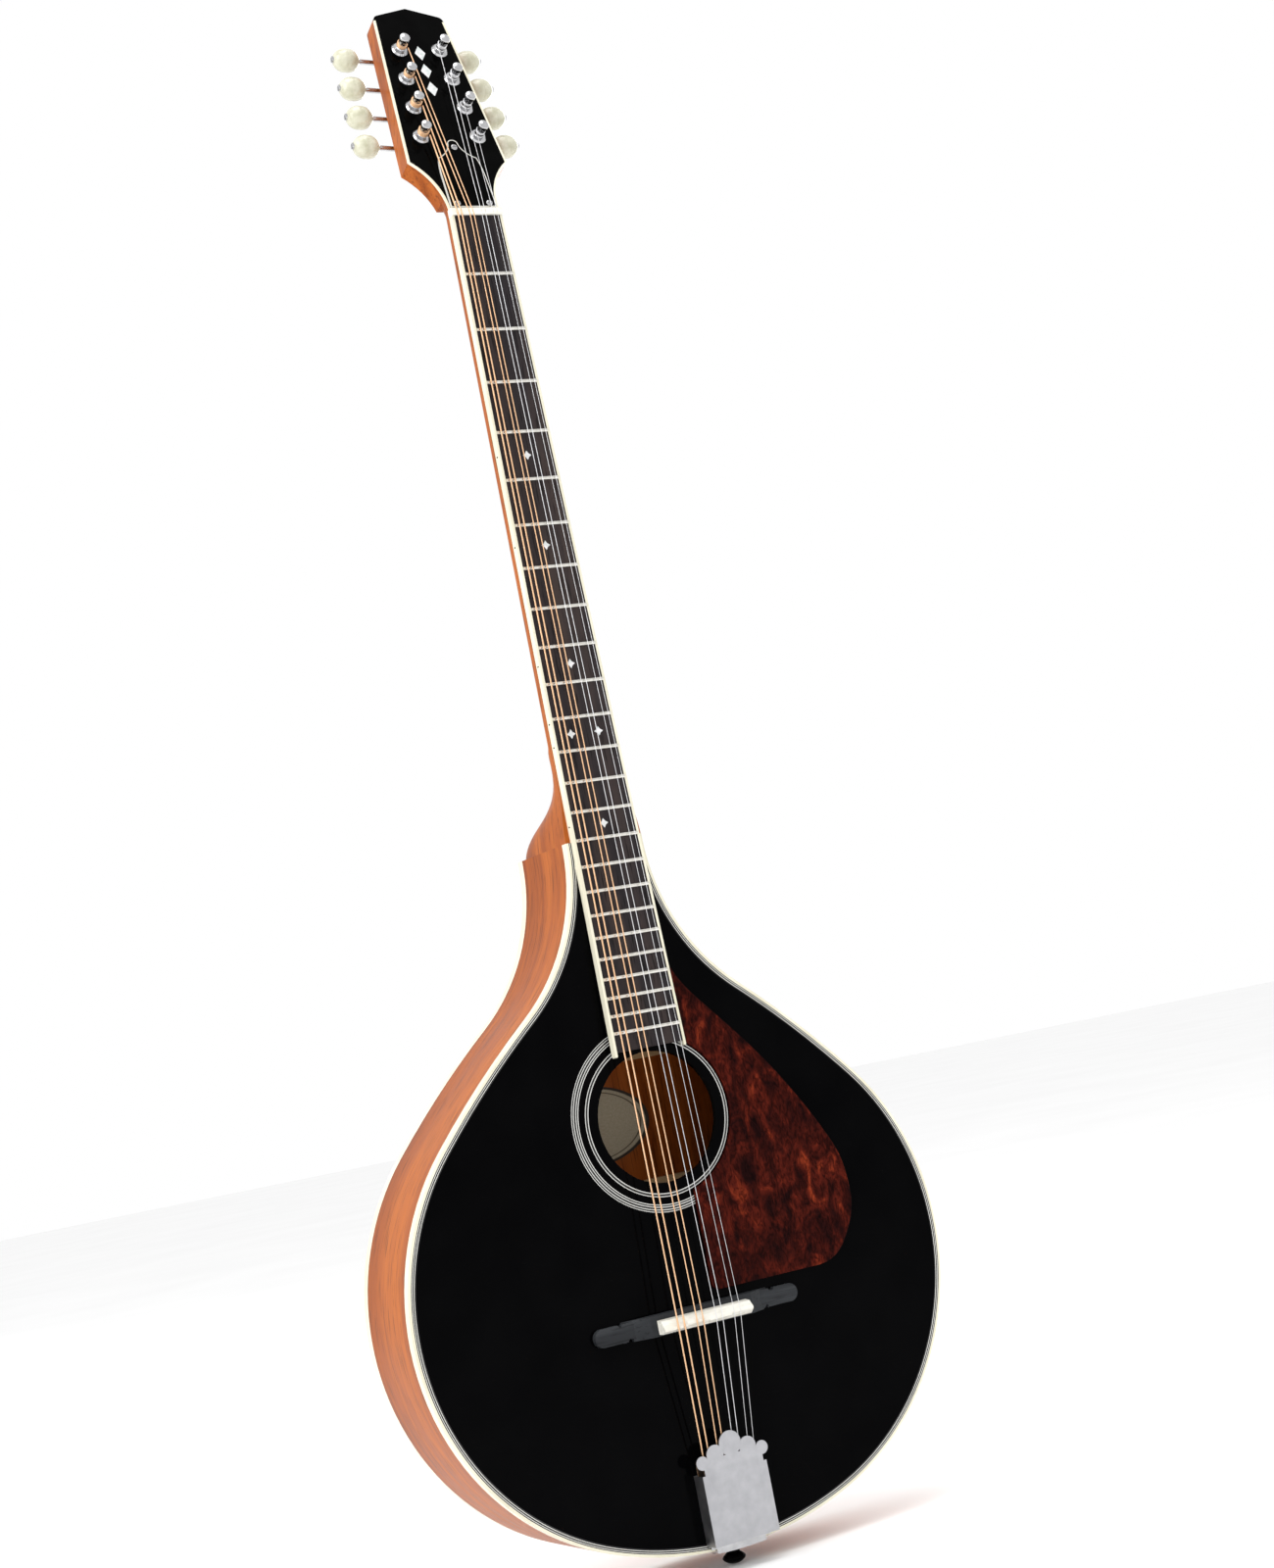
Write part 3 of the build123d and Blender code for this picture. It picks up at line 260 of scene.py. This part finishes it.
SATIN_NICKEL = surface("nickel_satin", (0.40, 0.40, 0.42), (0.48, 0.48, 0.50), 160.0, (0.34, 0.42), 1.0,
                       depth=0.000004)
SIDE_WOOD = wood("mahogany_sides", *MAHOGANY, ROUND_RIM, (0.30, 0.42))
WHITE_LINE = surface("white_line", (0.66, 0.65, 0.60), (0.78, 0.77, 0.72), 90.0, (0.12, 0.22))
BLACK_LINE = surface("black_line", (0.006, 0.006, 0.006), (0.012, 0.012, 0.012), 90.0, (0.12, 0.22))
FINISHES = {
    "gloss_black_top": surface("black_lacquer", (0.0007, 0.0007, 0.0009), (0.0013, 0.0013, 0.0015), 35.0,
                               (0.03, 0.05), specular=0.02, depth=0.0000006),
    "black_veneer": surface("black_gloss", (0.0008, 0.0008, 0.0008), (0.002, 0.002, 0.002), 60.0,
                            (0.04, 0.08), specular=0.02),
    "mahogany": wood("mahogany_long", *MAHOGANY, LONG_Z, (0.30, 0.42)),
    "spruce": wood("spruce_raw", (0.42, 0.25, 0.12), (0.55, 0.36, 0.19), (0.66, 0.46, 0.26), ACROSS_X,
                   (0.6, 0.75), pore=0.85),
    "cream_binding": surface("ivory_binding", (0.70, 0.66, 0.50), (0.82, 0.79, 0.64), 70.0, (0.16, 0.26),
                             stretch=(1, 1, 0.2)),
    "line_purfling": rosette_rings(),
    "label_paper": label_paper(),
    "tortoise": tortoise(),
    "rod_steel": surface("rod_steel_drawn", (0.30, 0.30, 0.30), (0.45, 0.45, 0.45), 300.0, (0.3, 0.45), 1.0),
    "pearl": surface("shell_pearl", (0.55, 0.62, 0.60), (0.86, 0.82, 0.84), 420.0, (0.12, 0.22), coat=0.6),
    "rosewood": wood("rosewood_board", (0.010, 0.008, 0.009), (0.022, 0.018, 0.020), (0.046, 0.033, 0.030),
                     LONG_Z, (0.38, 0.55), pore=0.35),
    "ebony": wood("ebony_bridge", (0.012, 0.013, 0.015), (0.026, 0.028, 0.031), (0.050, 0.053, 0.058),
                  ACROSS_X, (0.32, 0.48), pore=0.6),
    "fret_nickel": surface("fret_wire", (0.62, 0.60, 0.55), (0.76, 0.74, 0.69), 500.0, (0.16, 0.26), 1.0),
    "bone": surface("bone_cut", (0.74, 0.71, 0.62), (0.86, 0.84, 0.77), 260.0, (0.22, 0.34), depth=0.00001,
                    stretch=(0.3, 1, 1)),
    "nickel": surface("nickel_bright", (0.44, 0.44, 0.45), (0.56, 0.56, 0.57), 240.0, (0.10, 0.2), 1.0),
    "bronze_string": wound("bronze_winding", (0.60, 0.32, 0.16), (0.96, 0.66, 0.42), 0.0003),
    "steel_string": surface("string_steel", (0.66, 0.66, 0.67), (0.84, 0.84, 0.86), 900.0, (0.25, 0.35), 1.0,
                            stretch=(1, 1, 0.05)),
    "pearloid": surface("pearl_plastic", (0.46, 0.45, 0.32), (0.66, 0.65, 0.52), 190.0, (0.10, 0.2),
                        coat=0.15),
}

for name, obj in NODES.items():
    obj.data.materials.clear()
    obj.data.materials.append(FINISHES[SLOT_OF[name]])
for name in ("side_left", "side_right"):
    NODES[name].material_slots[0].material = SIDE_WOOD


# ------------------------------------------------------------------ pieces made again with softened edges
SHARP = 19.0               # edges steeper than this stay crisp, so flat faces shade flat
WELD = 1e-6                # vertices closer than this are one, metres
FLAT, CORNER = 0.5, 35.0   # faces this close are one plane, edges past this are rounded, degrees


def as_piece(name, bm, materials, stands_for):
    """Turns a bmesh into a piece that rides and takes its finish as the node it stands for."""
    mesh = bpy.data.meshes.new(name)
    bm.to_mesh(mesh)
    bm.free()
    for polygon in mesh.polygons:
        polygon.use_smooth = True
    mesh.set_sharp_from_angle(angle=math.radians(SHARP))
    for mat in materials:
        mesh.materials.append(mat)
    piece = bpy.data.objects.new(name, mesh)
    bpy.context.scene.collection.objects.link(piece)
    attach(piece, BODY_OF[stands_for])
    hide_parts(stands_for)
    return piece


def clean_copy(node):
    """A node's shape with its flat faces joined up."""
    bm = bmesh.new()
    bm.from_mesh(NODES[node].data)
    bmesh.ops.remove_doubles(bm, verts=bm.verts, dist=WELD)
    bmesh.ops.dissolve_limit(bm, angle_limit=math.radians(FLAT), verts=bm.verts, edges=bm.edges)
    return bm


def soften(bm, width):
    """Rounds the sharp edges."""
    sharp = [e for e in bm.edges if e.is_manifold and e.calc_face_angle() > math.radians(CORNER)]
    bmesh.ops.bevel(bm, geom=sharp, offset=width * MM, segments=2, profile=0.5, affect="EDGES",
                    clamp_overlap=True)


for node, name, width, finish in (
        ("pickguard", "guard_plate", 0.55, FINISHES["tortoise"]),
        ("nut", "nut_block", 0.25, FINISHES["bone"]),
        ("bridge_base", "bridge_foot", 0.45, FINISHES["ebony"]),
        ("bridge_saddle", "saddle_bar", 0.2, FINISHES["bone"]),
        ("tailpiece_cover", "cover_sheet", 0.3, SATIN_NICKEL),
        ("tuner_plates", "plate_pair", 0.2, FINISHES["nickel"])):
    shape = clean_copy(node)
    soften(shape, width)
    as_piece(name, shape, [finish], node)


EDGE_LINE = 0.6            # width of the white edge of the truss-rod cover


def truss_plate():
    """Truss-rod cover: black face inside a white edge line."""
    bm = clean_copy("truss_cover")
    front = [f for f in bm.faces if f.normal.y < -0.9]
    bmesh.ops.inset_region(bm, faces=front, thickness=EDGE_LINE * MM)
    for face in bm.faces:
        face.material_index = 1
    for face in front:
        face.material_index = 0
    as_piece("truss_plate", bm, [FINISHES["black_veneer"], WHITE_LINE], "truss_cover")


truss_plate()

WAIST = (18.2, 23.5)       # heights of the string turns above the headstock's back
WAIST_RADIUS = 2.7


def post_with_turns(joint):
    """A string post in nickel whose wound turns take the string's metal."""
    number = int(joint["child"].split("_")[1])
    node = "tuner_post_%d" % number
    origin, axis = Vector(joint["pos_m"]), Vector(joint["axis"]).normalized()
    bm = bmesh.new()
    bm.from_mesh(NODES[node].data)
    bmesh.ops.remove_doubles(bm, verts=bm.verts, dist=WELD)
    for face in bm.faces:
        arm = face.calc_center_median() - origin
        height = arm.dot(axis)
        radius = (arm - axis * height).length
        turned = WAIST[0] < height / MM < WAIST[1] and radius > WAIST_RADIUS * MM
        face.material_index = 1 if turned else 0
    turns = FINISHES["bronze_string"] if number <= 4 else FINISHES["steel_string"]
    as_piece("post_%d_turned" % number, bm, [FINISHES["nickel"], turns], node)


for joint in frame["joints"]:
    if joint["name"].startswith("post_turn"):
        post_with_turns(joint)

# ------------------------------------------------------------------ purfling lines
TOP_Y, PURF_T = -20.0, 1.5
TAIL_Z, JOINT_Z = -796.5, -386.6
R_TAIL, R_BOUT, R_UPPER, R_SHOULDER = 213.5, 148.0, 573.0, 121.3
TURN_1, TURN_2, TURN_3 = 21.3, 131.3, 140.5   # heading after each arc, degrees
ARC_STEPS = 48
STRIP_EDGES = (1.6, 2.15, 2.5, 3.3, 3.65, 4.4)   # distances in from the body edge


def heading(degrees):
    """Direction from an arc's centre to its point where the outline heads that way."""
    return Vector((math.sin(math.radians(degrees)), -math.cos(math.radians(degrees))))


def half_outline(inset):
    """Right half of the body outline, moved inward."""
    centre_1 = Vector((0.0, TAIL_Z + R_TAIL))
    centre_2 = centre_1 + (R_TAIL - R_BOUT) * heading(TURN_1)
    centre_3 = centre_2 + (R_BOUT - R_UPPER) * heading(TURN_2)
    centre_4 = centre_3 + (R_UPPER + R_SHOULDER) * heading(TURN_3)
    points = []
    for centre, radius, start, end in (
            (centre_1, R_TAIL - inset, 0.0, TURN_1), (centre_2, R_BOUT - inset, TURN_1, TURN_2),
            (centre_3, R_UPPER - inset, TURN_2, TURN_3), (centre_4, -R_SHOULDER - inset, TURN_3, 90.0)):
        for step in range(ARC_STEPS):
            points.append(centre + radius * heading(start + (end - start) * step / ARC_STEPS))
    points.append(centre_4 - (R_SHOULDER + inset) * heading(90.0))
    points.append(Vector((points[-1].x, JOINT_Z)))
    return points


def purfling():
    """Five black and white strips between the binding and the lacquered top."""
    bm = bmesh.new()
    for band in range(len(STRIP_EDGES) - 1):
        for sign in (-1, 1):
            inner, outer = half_outline(STRIP_EDGES[band + 1]), half_outline(STRIP_EDGES[band])
            rows = []
            for a, b in zip(outer, inner):
                rows.append([bm.verts.new(Vector((sign * p.x, y, p.y)) * MM)
                             for p, y in ((a, TOP_Y), (b, TOP_Y), (b, TOP_Y + PURF_T), (a, TOP_Y + PURF_T))])
            for low, high in zip(rows, rows[1:]):
                for k in range(4):
                    face = bm.faces.new((low[k], low[(k + 1) % 4], high[(k + 1) % 4], high[k]))
                    face.material_index = band % 2
            for row in (rows[0], rows[-1]):
                bm.faces.new(row).material_index = band % 2
    bmesh.ops.recalc_face_normals(bm, faces=bm.faces)
    as_piece("purfling_strips", bm, [BLACK_LINE, WHITE_LINE], "top_purfling")


purfling()


# ------------------------------------------------------------------ floor, light and camera
FLOOR_HALF, FLOOR_DROP = 14.0, 0.001
CAMERA_AT = (-0.65749, -1.32050, -0.52117)
CAMERA_AXES = ((0.87764, -0.44007, -0.18998), (0.11942, -0.1831, 0.97581), (-0.46421, -0.8791, -0.10815))
BACKDROP = 1.0
# soft lights: name, place, aim, size, watts
LIGHTS = (("key_left", (-2.2, -0.7, 0.6), (0, 0, -0.45), (1.2, 2.4), 30.0),
          ("overhead", (-0.2, -0.6, 2.2), (0, 0, -0.4), (1.6, 1.6), 26.0),
          ("back_right", (1.8, 1.6, 0.6), (0, 0, -0.45), (1.2, 2.0), 26.0))


def floor():
    """Plain pale floor under the tail."""
    bm = bmesh.new()
    bmesh.ops.create_grid(bm, x_segments=4, y_segments=4, size=FLOOR_HALF)
    mesh = bpy.data.meshes.new("floor")
    bm.to_mesh(mesh)
    bm.free()
    pale = surface("floor_pale", (0.92, 0.92, 0.92), (0.95, 0.95, 0.95), 3.0, (0.8, 0.9))
    mesh.materials.append(pale)
    obj = bpy.data.objects.new("floor", mesh)
    obj.location = (0, 0, CAD_BOX[0][2] - FLOOR_DROP)
    bpy.context.scene.collection.objects.link(obj)


def softbox(name, spot, target, size, power):
    """Rectangular soft light aimed at a point."""
    data = bpy.data.lights.new(name, "AREA")
    data.shape = "RECTANGLE"
    data.size, data.size_y = size
    data.energy = power
    obj = bpy.data.objects.new(name, data)
    obj.location = spot
    obj.rotation_euler = (Vector(target) - Vector(spot)).to_track_quat("-Z", "Y").to_euler()
    bpy.context.scene.collection.objects.link(obj)


def world(strength):
    """Plain white backdrop."""
    bpy.context.scene.world = bpy.data.worlds.new("studio")
    bpy.context.scene.world.use_nodes = True
    tree = bpy.context.scene.world.node_tree
    tree.nodes.clear()
    plain = add(tree, "ShaderNodeBackground", {"Color": (1.0, 1.0, 1.0, 1.0), "Strength": strength})
    out = add(tree, "ShaderNodeOutputWorld")
    tree.links.new(plain.outputs[0], out.inputs["Surface"])


def camera():
    """Camera low in front and to the left, tilted, with a slightly long lens."""
    data = bpy.data.cameras.new("camera")
    data.lens = 57.44
    data.shift_x, data.shift_y = -0.00156, 0.00375
    obj = bpy.data.objects.new("camera", data)
    obj.matrix_world = Matrix.Translation(CAMERA_AT) @ Matrix(CAMERA_AXES).transposed().to_4x4()
    bpy.context.scene.collection.objects.link(obj)
    bpy.context.scene.camera = obj


floor()
world(BACKDROP)
for light in LIGHTS:
    softbox(*light)
camera()
bpy.context.scene.view_settings.view_transform = "Standard"

bpy.context.view_layer.update()
